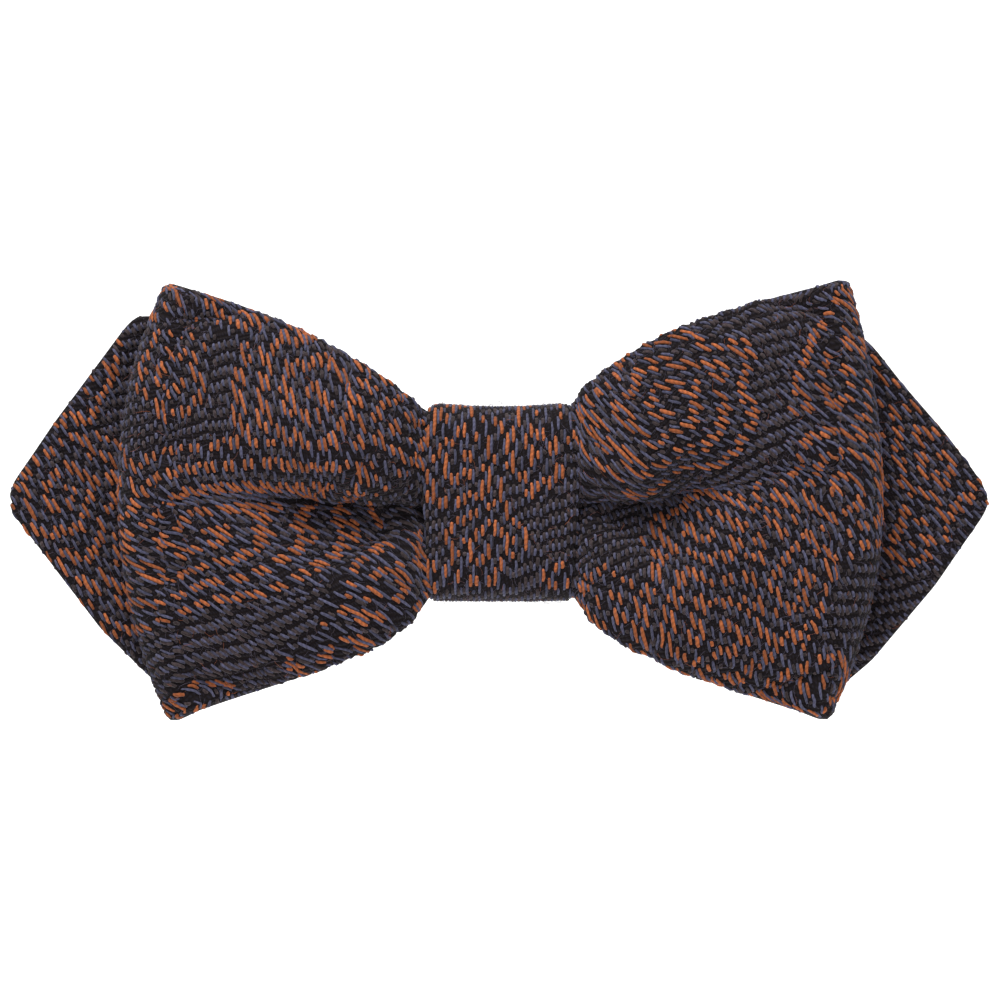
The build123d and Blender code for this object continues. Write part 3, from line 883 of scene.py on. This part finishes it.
def knot_grid():
    """Middle of the knot's band, from its raw end behind, over the top, down the front and back up behind."""
    front, back = KNOT_LOW[1] + KNOT_WALL / 2, KNOT_HIGH[1] - KNOT_WALL / 2
    top = KNOT_HIGH[2] - KNOT_WALL / 2
    radius = KNOT_BEND
    gap = 0.15
    turn = np.linspace(0, math.pi / 2, 9)
    sine, cosine = radius * np.sin(turn), radius * np.cos(turn)
    parts = [
        np.stack([np.full(24, back), np.linspace(gap, top - radius, 24)], axis=-1),
        np.stack([back - radius + cosine, top - radius + sine], axis=-1)[1:],
        np.stack([np.linspace(back - radius, front + radius, 20), np.full(20, top)], axis=-1)[1:],
        np.stack([front + radius - sine, top - radius + cosine], axis=-1)[1:],
        np.stack([np.full(50, front), np.linspace(top - radius, -top + radius, 50)], axis=-1)[1:],
        np.stack([front + radius - cosine, -top + radius - sine], axis=-1)[1:],
        np.stack([np.linspace(front + radius, back - radius, 20), np.full(20, -top)], axis=-1)[1:],
        np.stack([back - radius + sine, -top + radius - cosine], axis=-1)[1:],
        np.stack([np.full(24, back), np.linspace(-top + radius, -gap, 24)], axis=-1)[1:],
    ]
    path = np.concatenate(parts)
    y, z = path[:, :1], path[:, 1:]
    share = smooth((back - y) / (back - front))
    half = np.linspace(0, 1, 17)
    u = np.concatenate([-np.flip(np.sin(half[1:] * math.pi / 2)), [0], np.sin(half[1:] * math.pi / 2)])[None]
    width = mix(KNOT_SIDE - 2.0, KNOT_SIDE, share) + 0.25 * np.sin(z * 0.33 + 0.6) * share
    x = u * width + 0.12 * share
    plump = 1 - u ** 2
    pillow = 0.75 * plump * smooth((share - 0.8) / 0.2) * (1 - (z / top) ** 4)
    dip = np.where(z > 0, 0.5 * plump - 0.12, 0.05 * plump) * smooth((np.abs(z) - 5) / 5)
    ripple = 0.1 * np.sin(z * 1.1 + x * 0.5) * share * plump
    return np.stack([x + 0 * z, y - pillow - ripple, z - dip], axis=-1), len(path)


class BOWTIE_OT_knot(bpy.types.Operator):
    """Make the knot: a short padded band wrapped round the waist and closed behind"""

    bl_idname = "bowtie.knot"
    bl_label = "Knot"

    def execute(self, context):
        middle, rows = knot_grid()
        cloth = Cloth(middle, KNOT_WALL, 1.3, rows // 2, 16)
        knot = tube("knot_cloth", cloth, cloth.inset(WALL, KNOT_WALL - 2 * WALL + 0.06, 0.5))
        put(knot, ground_material("Jacquard ground"), "knot_band")
        canvas = slab("knot_canvas", cloth.inset(WALL + 0.1, KNOT_WALL - 2 * WALL, 0.4))
        put(canvas, canvas_material("Canvas"), "knot_interlining")

        def everywhere(place, normal):
            return np.ones(len(place), bool)

        end = np.abs(cloth.along).max()
        yarns = dress("knot", cloth, upright_columns(-end, end, KNOT_SIDE + 0.6), everywhere, 31)
        around = KNOT_HIGH[2] - KNOT_LOW[2] + KNOT_HIGH[1] - KNOT_LOW[1] - 2 * KNOT_WALL
        length = 2 * around - (8 - math.tau) * KNOT_BEND
        width = 2 * KNOT_SIDE
        2 * (width + 3) * MM
        length * MM
        width * MM
        length * MM
        return {"FINISHED"}


# ---------------------------------------------------------------- threads and springs


def sweep(name, path, radius, sides=10, closed=False, per_turn=None):
    """A wire or thread along a path in millimetres, with its own lengths along and round it."""
    path = np.asarray(path, float)
    if closed:
        tangent = np.roll(path, -1, axis=0) - np.roll(path, 1, axis=0)
    else:
        tangent = np.gradient(path, axis=0)
    tangent /= np.linalg.norm(tangent, axis=1, keepdims=True)
    side = np.cross(tangent[0], (0.31, 0.52, 0.79))
    frames = []
    for direction in tangent:
        side = side - direction * side.dot(direction)
        side /= np.linalg.norm(side)
        frames.append((side, np.cross(direction, side)))
    turn = np.arange(sides) / sides * math.tau
    frames = np.array(frames)
    ring = frames[:, 0, None] * np.cos(turn)[None, :, None] + frames[:, 1, None] * np.sin(turn)[None, :, None]
    points = (path[:, None] + ring * radius).reshape(-1, 3)
    count = len(path)
    faces = []
    for i in range(count if closed else count - 1):
        k = (i + 1) % count
        for j in range(sides):
            m = (j + 1) % sides
            faces.append([i * sides + j, i * sides + m, k * sides + m, k * sides + j])
    if not closed:
        faces.append(list(range(sides))[::-1])
        faces.append([(count - 1) * sides + j for j in range(sides)])
    length = np.concatenate([[0], np.cumsum(np.linalg.norm(np.diff(path, axis=0), axis=1))])
    uv = np.stack(np.broadcast_arrays(length[:, None], turn[None] / math.tau), axis=-1).reshape(-1, 2)
    return mesh_object(name, points, faces, uv)


def join(name, parts):
    """Several pieces as one."""
    bpy.ops.object.select_all(action="DESELECT")
    for part in parts:
        part.select_set(True)
    bpy.context.view_layer.objects.active = parts[0]
    bpy.ops.object.join()
    piece = bpy.context.object
    piece.name = piece.data.name = name
    return piece


THREAD = 0.2  # radius of the sewing thread


class BOWTIE_OT_threads(bpy.types.Operator):
    """Make the turns of thread round the waist and the stitches that close the knot behind"""

    bl_idname = "bowtie.threads"
    bl_label = "Threads"

    def execute(self, context):
        front, back = BINDING_LOW[1] + THREAD, BINDING_HIGH[1] - THREAD
        top = BINDING_HIGH[2] - THREAD
        turns = []
        for number in range(5):
            x = (number - 2) * (BINDING_HIGH[0] - THREAD) / 2
            angle = np.linspace(0, math.tau, 96, endpoint=False)
            reach = (np.abs(np.cos(angle)) ** 8 + np.abs(np.sin(angle)) ** 8) ** (-1 / 8)
            y = (front + back) / 2 + (back - front) / 2 * np.cos(angle) * reach
            z = top * np.sin(angle) * reach
            turns.append(sweep("turn", np.stack([np.full(96, x), y, z], axis=-1), THREAD, 8, closed=True))
        binding = join("waist_binding", turns)
        low, high = node_box("knot_back_stitches")
        stitches = []
        half = high[2] - THREAD
        for number in range(5):
            x = (number - 2) * (high[0] - THREAD) / 2
            t = np.linspace(-1, 1, 15)
            z = half * t
            y = low[1] + 0.32 - 0.75 * np.abs(t) ** 5
            lean = 0.35 * t
            stitches.append(sweep("stitch", np.stack([x + lean, y, z], axis=-1), THREAD, 8))
        sewing = join("knot_stitches", stitches)
        for piece, node in ((binding, "waist_binding_thread"), (sewing, "knot_back_stitches")):
            put(piece, thread_material("Sewing thread"), node)
        return {"FINISHED"}


COIL_TURNS, COIL_PITCH = 5 + 66 / 360, 0.5  # the last part turn leads the wire to its leg


class BOWTIE_OT_springs(bpy.types.Operator):
    """Make the two torsion springs, which wind up as their levers open"""

    bl_idname = "bowtie.springs"
    bl_label = "Torsion springs"

    def execute(self, context):
        wire = context.scene.bow_tie_metal.wire / MM / 2
        for side, word in ((1, "right"), (-1, "left")):
            low, high = node_box("torsion_spring_" + word)
            pin_low, pin_high = node_box("hinge_pin_" + word)
            centre = (pin_low + pin_high) / 2
            radius = (high[0] - low[0]) / 2 - wire
            height = COIL_PITCH * COIL_TURNS
            turn = np.linspace(0, COIL_TURNS * math.tau, 200)
            rise = height * (turn / turn[-1] - 0.5)
            coil = np.stack([radius * np.cos(turn), radius * np.sin(turn), rise], axis=-1)
            leg_down = coil[0] + np.array([0, -1, 0]) * np.linspace(centre[1] - 0.1, 0.1, 12)[:, None]
            tangent = np.array([-math.sin(turn[-1]), math.cos(turn[-1]), 0])
            leg_up = coil[-1] + tangent * np.linspace(0.1, 2.7, 14)[:, None]
            path = np.concatenate([leg_down, coil, leg_up]) * (side, 1, 1) + (centre[0], centre[1], 0)
            if side < 0:
                path = path[::-1]
            spring = sweep("spring_wire_" + word, path, wire, 10)
            steel = metal_material("Spring steel", context.scene.bow_tie_metal.spring_steel, 0.34)
            spring.data.materials.append(steel)
            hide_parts("torsion_spring_" + word)
            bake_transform(spring)
        return {"FINISHED"}


class BOWTIE_OT_clip_finish(bpy.types.Operator):
    """Plate the collar clip's strip, levers and pins in nickel"""

    bl_idname = "bowtie.clip_finish"
    bl_label = "Clip finish"

    def execute(self, context):
        nickel = metal_material("Nickel plate", context.scene.bow_tie_metal.nickel, 0.24)
        for node in ("clip_base", "clip_lever_left", "clip_lever_right", "hinge_pin_left", "hinge_pin_right"):
            piece = bpy.data.objects[node]
            piece.data.materials.clear()
            piece.data.materials.append(nickel)
        return {"FINISHED"}


# ---------------------------------------------------------------- materials


class Wire:
    """A value in a material's nodes that Python arithmetic works on."""

    def __init__(self, nodes, socket):
        self.nodes = nodes
        self.socket = socket

    def math(self, operation, *others):
        return self.nodes.node("ShaderNodeMath", {"operation": operation}, dict(enumerate((self, *others))))

    def __add__(self, other):
        return self.math("ADD", other)

    def __radd__(self, other):
        return self.math("ADD", other)

    def __mul__(self, other):
        return self.math("MULTIPLY", other)

    def __rmul__(self, other):
        return self.math("MULTIPLY", other)

    def __sub__(self, other):
        return self.math("SUBTRACT", other)

    def __rsub__(self, other):
        return self.nodes.node("ShaderNodeMath", {"operation": "SUBTRACT"}, {0: other, 1: self})

    def __truediv__(self, other):
        return self.math("DIVIDE", other)

    def wave(self):
        """0 to 1 and back for every whole step of the value."""
        return (self * math.tau).math("SINE") * 0.5 + 0.5


class Material:
    """A new node material with a Principled shader, built node by node."""

    def __init__(self, name, roughness, **constants):
        self.material = bpy.data.materials.new(name)
        self.material.use_nodes = True
        self.tree = self.material.node_tree
        self.shader = self.tree.nodes["Principled BSDF"]
        self.shader.inputs["Roughness"].default_value = roughness
        for socket, value in constants.items():
            self.shader.inputs[socket.replace("_", " ")].default_value = value

    def node(self, kind, settings=None, inputs=None, output=0):
        """Adds a node of this kind with these settings and socket values or links, and returns its output."""
        made = self.tree.nodes.new(kind)
        for name, value in (settings or {}).items():
            setattr(made, name, value)
        for name, value in (inputs or {}).items():
            if isinstance(value, Wire):
                self.tree.links.new(value.socket, made.inputs[name])
            else:
                made.inputs[name].default_value = value
        return Wire(self, made.outputs[output])

    def uv(self, name):
        """Both values of a UV map."""
        place = self.node("ShaderNodeUVMap", {"uv_map": name})
        parts = self.node("ShaderNodeSeparateXYZ", inputs={0: place})
        return parts, Wire(self, parts.socket.node.outputs[1])

    def vector(self, x, y, z=0.0):
        return self.node("ShaderNodeCombineXYZ", inputs={0: x, 1: y, 2: z})

    def noise(self, vector, scale, detail=2.0, roughness=0.5):
        return self.node("ShaderNodeTexNoise", inputs={
            "Vector": vector, "Scale": scale, "Detail": detail, "Roughness": roughness})

    def blend(self, share, first, second):
        """Mixes two colours, each a constant or another mix."""
        first, second = (c if isinstance(c, Wire) else (*c, 1.0) for c in (first, second))
        return self.node("ShaderNodeMix", {"data_type": "RGBA"}, {0: share, 6: first, 7: second}, 2)

    def finish(self, colour, height=None, strength=0.5, distance=0.1 * MM, roughness=None):
        """Joins the colour, relief and roughness to the shader."""
        links = self.tree.links
        links.new(colour.socket, self.shader.inputs["Base Color"])
        if roughness is not None:
            links.new(roughness.socket, self.shader.inputs["Roughness"])
        if height is not None:
            bump = self.node("ShaderNodeBump", inputs={
                "Strength": strength, "Distance": distance, "Height": height})
            links.new(bump.socket, self.shader.inputs["Normal"])
        return self.material


def tinted(colour, share):
    return tuple(min(part * share, 1.0) for part in colour)


def kept(maker):
    """Makes a material the first time, and gives the same one again after that."""
    def get(name, *values):
        return bpy.data.materials.get(name) or maker(name, *values)
    return get


@kept
def ground_material(name):
    """The cloth under the surface yarns: charcoal picks in twill rows, with slate between them. Its colour
    also follows the relief: painted highlight on raised fibres and on the crests of the picks, and painted
    shade, near black, in the hollows.
    """
    settings = bpy.context.scene.bow_tie_cloth
    material = Material(name, 0.95, Sheen_Weight=0.04, Specular_IOR_Level=0.06)
    along, across = material.uv("Weave")
    drift = material.noise(material.vector(along, across), 0.35) * 0.5
    row = (across - along * TWILL) + drift
    pick = (row / 0.56).wave()
    yarn = ((along + across * 0.5) / 0.38).wave()
    fibre = material.noise(material.vector(along, row * 3.0), 4.0, 4.0, 0.7)
    height = pick * 0.7 + yarn * pick * 0.4 + fibre * 0.5
    # Charcoal, near black in the hollows and lighter on raised fibres: partly the cloth's own tone, partly
    # painted shade
    charcoal_and_hollow_shade = material.blend(fibre, tinted(settings.charcoal, 0.03), tinted(settings.charcoal, 0.4))
    # A little slate on the crests of the picks, where the relief is highest: partly slate yarn, partly
    # painted highlight
    slate_and_crest_highlight = material.blend(pick * yarn * 0.2, charcoal_and_hollow_shade, tinted(settings.slate, 0.5))
    return material.finish(slate_and_crest_highlight, height, 0.9, 0.16 * MM)


@kept
def yarn_material(name, colour):
    """A spun yarn: plies twist round it, fibres run along it, and each float has its own shade. The grooves
    between the plies are painted darker as painted shade, and the fibre noise that lifts the relief also
    lightens the colour.
    """
    material = Material(name, 0.85, Sheen_Weight=0.08, Specular_IOR_Level=0.14)
    length, turn = material.uv("Yarn")
    shade = material.node("ShaderNodeAttribute", {"attribute_name": "shade"}, output="Fac")
    ply = (length / 0.62 + turn).wave()
    place = material.vector(length * 1.6 + shade * 40.0, turn * 9.0 + length * 4.0, shade * 7.0)
    fibre = material.noise(place, 1.0, 4.0, 0.65)
    light = shade * 0.45 + fibre * 0.55
    body = material.blend(light, tinted(colour, 0.35), tinted(colour, 1.75))
    # Painted shade: the colour darkens in the grooves between the plies
    ply_groove_shade = material.blend(ply * 0.45 + 0.55, tinted(colour, 0.35), body)
    return material.finish(ply_groove_shade, ply * 0.6 + fibre * 0.6, 0.7, 0.07 * MM)


@kept
def fibre_material(name):
    """Loose fibres: most are slate or charcoal, a few rust."""
    settings = bpy.context.scene.bow_tie_cloth
    material = Material(name, 0.7, Specular_IOR_Level=0.2)
    shade = material.node("ShaderNodeAttribute", {"attribute_name": "shade"}, output="Fac")
    place = material.node("ShaderNodeTexCoord", output="Object")
    along = material.noise(place, 2500.0, 2.0)
    blue = material.blend(along, tinted(settings.charcoal, 2.2), tinted(settings.slate, 1.5))
    warm = (shade * 6.0 - 4.9).math("MINIMUM", 1.0).math("MAXIMUM", 0.0)
    return material.finish(material.blend(warm, blue, tinted(settings.rust, 1.1)))


@kept
def canvas_material(name):
    """Plain-woven canvas for the linings inside, painted darker where its weave sinks as painted shade."""
    material = Material(name, 0.95, Specular_IOR_Level=0.15)
    along, across = material.uv("Weave")
    weft, warp = (along / 0.6).wave(), (across / 0.6).wave()
    slub = material.noise(material.vector(along, across), 1.4, 3.0)
    height = weft * warp + slub * 0.4
    # Painted shade: the canvas is darker where its weave and slubs sink and lighter where they rise
    colour = material.blend(height * 0.8, (0.34, 0.30, 0.24), (0.66, 0.61, 0.52))
    return material.finish(colour, height, 0.6, 0.12 * MM)


@kept
def thread_material(name):
    """Waxed two-ply sewing thread, painted darker in the grooves between its plies as painted shade."""
    material = Material(name, 0.6, Sheen_Weight=0.2)
    length, turn = material.uv("Weave")
    ply = (length / 0.5 + turn * 2.0).wave()
    fibre = material.noise(material.vector(length * 6.0, turn * 12.0), 1.0, 3.0)
    # Painted shade: near black in the grooves between the plies, greyer on their crests
    colour = material.blend(ply * 0.6 + fibre * 0.4, (0.02, 0.018, 0.024), (0.14, 0.13, 0.16))
    return material.finish(colour, ply + fibre * 0.3, 0.8, 0.08 * MM)


@kept
def metal_material(name, colour, roughness):
    """Pressed and plated metal with fine rolling marks and a little tarnish."""
    material = Material(name, roughness, Metallic=1.0)
    place = material.node("ShaderNodeTexCoord", output="Object")
    parts = material.node("ShaderNodeSeparateXYZ", inputs={0: place})
    x, y, z = (Wire(material, parts.socket.node.outputs[number]) for number in range(3))
    marks = material.noise(material.vector(x * 300.0, y * 6000.0, z * 6000.0), 1.0, 3.0)
    cloud = material.noise(place, 260.0, 4.0, 0.6)
    tone = material.blend(cloud, tinted(colour, 0.72), tinted(colour, 1.12))
    rough = marks * 0.16 + cloud * 0.14 + (roughness - 0.13)
    return material.finish(tone, marks, 0.16, 0.02 * MM, rough)


def floor_material():
    """Pale seamless paper that glows by painted emission, faintly under the tie and full white further back
    where it curves up.
    """
    material = Material("Studio paper", 0.9, Emission_Strength=0.95, Specular_IOR_Level=0.1)
    place = material.node("ShaderNodeTexCoord", output="Object")
    grain = material.noise(place, 8.0, 2.0)
    parts = material.node("ShaderNodeSeparateXYZ", inputs={0: place})
    far = Wire(material, parts.socket.node.outputs[1])
    # Painted light: the paper glows, dim near the tie and full white further back
    share = (far * 1.6 - 0.7).math("MINIMUM", 1.0).math("MAXIMUM", 0.0)
    painted_glow = material.blend(share, (0.22, 0.22, 0.22), (1.0, 1.0, 1.0))
    material.tree.links.new(painted_glow.socket, material.shader.inputs["Emission Color"])
    return material.finish(material.blend(grain, (0.86, 0.86, 0.86), (0.90, 0.90, 0.90)))


# ---------------------------------------------------------------- stage


class BOWTIE_OT_stage(bpy.types.Operator):
    """Set up the pale paper, the soft lights and the camera"""

    bl_idname = "bowtie.stage"
    bl_label = "Stage"

    def execute(self, context):
        settings = context.scene.bow_tie_stage
        bpy.ops.object.select_all(action="DESELECT")
        bpy.ops.mesh.primitive_plane_add(size=6, location=(0, 0, -settings.floor_gap))
        paper = context.object
        paper.name = "studio_paper"
        bpy.ops.object.mode_set(mode="EDIT")
        bpy.ops.mesh.select_all(action="DESELECT")
        bpy.ops.object.mode_set(mode="OBJECT")
        for edge in paper.data.edges:
            edge.select = all(paper.data.vertices[v].co.y > 0 for v in edge.vertices)
        bpy.ops.object.mode_set(mode="EDIT")
        bpy.ops.mesh.select_mode(type="EDGE")
        bpy.ops.mesh.extrude_region_move(TRANSFORM_OT_translate={"value": (0, 0, 4)})
        bpy.ops.object.mode_set(mode="OBJECT")
        for edge in paper.data.edges:
            ends = [paper.data.vertices[v].co for v in edge.vertices]
            edge.select = all(end.y > 0 and end.z < 1 for end in ends)
        bpy.ops.object.mode_set(mode="EDIT")
        bpy.ops.mesh.bevel(offset=1.2, segments=16)
        bpy.ops.object.mode_set(mode="OBJECT")
        bpy.ops.object.shade_smooth()
        paper.data.materials.append(floor_material())
        lights = (
            ("key_light", settings.key_power, 0.6, (-0.22, -0.50, 1.2)),
            ("fill_light", settings.fill_power, 1.2, (0.7, -1.1, 0.25)),
            ("back_light", settings.fill_power, 0.8, (0.3, 1.0, 0.9)),
        )
        for name, power, size, place in lights:
            aim = Vector(place).to_track_quat("Z", "Y").to_euler()
            bpy.ops.object.light_add(type="AREA", radius=size, location=place, rotation=aim)
            light = context.object
            light.name = name
            light.data.energy = power
            light.data.shape = "DISK"
        world = bpy.data.worlds.new("Soft box")
        world.use_nodes = True
        sky = world.node_tree.nodes["Background"]
        sky.inputs["Color"].default_value = (1, 1, 1, 1)
        sky.inputs["Strength"].default_value = settings.sky
        context.scene.world = world
        context.scene.view_settings.view_transform = "Standard"
        middle = CAD_BOUNDS[0] + (CAD_BOUNDS[1] - CAD_BOUNDS[0]) / 2
        place = (middle.x, -settings.camera_reach, middle.z + 0.25 * MM)
        bpy.ops.object.camera_add(location=place, rotation=(math.radians(90), 0, 0))
        camera = context.object
        camera.name = "camera"
        front = LOOP_LOW[1] * 0.6 * MM
        camera.data.lens = camera.data.sensor_width * (settings.camera_reach + front) / settings.view_width
        camera.data.clip_end = 20
        context.scene.camera = camera
        return {"FINISHED"}


# ---------------------------------------------------------------- add-on


class BOWTIE_PT_panel(bpy.types.Panel):
    """The tie's pieces, in the order in which they are made"""

    bl_idname = "BOWTIE_PT_panel"
    bl_label = "Bow Tie"
    bl_space_type = "VIEW_3D"
    bl_region_type = "UI"
    bl_category = "Bow Tie"

    def draw(self, context):
        for step in STEPS:
            self.layout.operator(step.bl_idname, text=step.bl_label)
        for group, settings in SETTINGS.items():
            box = self.layout.box()
            for name in settings.__annotations__:
                box.prop(getattr(context.scene, group), name)


SETTINGS = {
    "bow_tie_shape": BowTieShape,
    "bow_tie_cloth": BowTieCloth,
    "bow_tie_metal": BowTieMetal,
    "bow_tie_stage": BowTieStage,
}
STEPS = (
    BOWTIE_OT_front_loop,
    BOWTIE_OT_back_blade,
    BOWTIE_OT_knot,
    BOWTIE_OT_threads,
    BOWTIE_OT_springs,
    BOWTIE_OT_clip_finish,
    BOWTIE_OT_stage,
)


def register():
    for group, settings in SETTINGS.items():
        bpy.utils.register_class(settings)
        setattr(bpy.types.Scene, group, bpy.props.PointerProperty(type=settings))
    for step in (*STEPS, BOWTIE_PT_panel):
        bpy.utils.register_class(step)


def unregister():
    for step in reversed((*STEPS, BOWTIE_PT_panel)):
        bpy.utils.unregister_class(step)
    for group, settings in SETTINGS.items():
        delattr(bpy.types.Scene, group)
        bpy.utils.unregister_class(settings)


def main():
    register()
    for step in STEPS:
        package, name = step.bl_idname.split(".")
        if getattr(getattr(bpy.ops, package), name)() != {"FINISHED"}:
            raise RuntimeError(step.bl_label + " didn't finish")


if __name__ == "__main__":
    main()
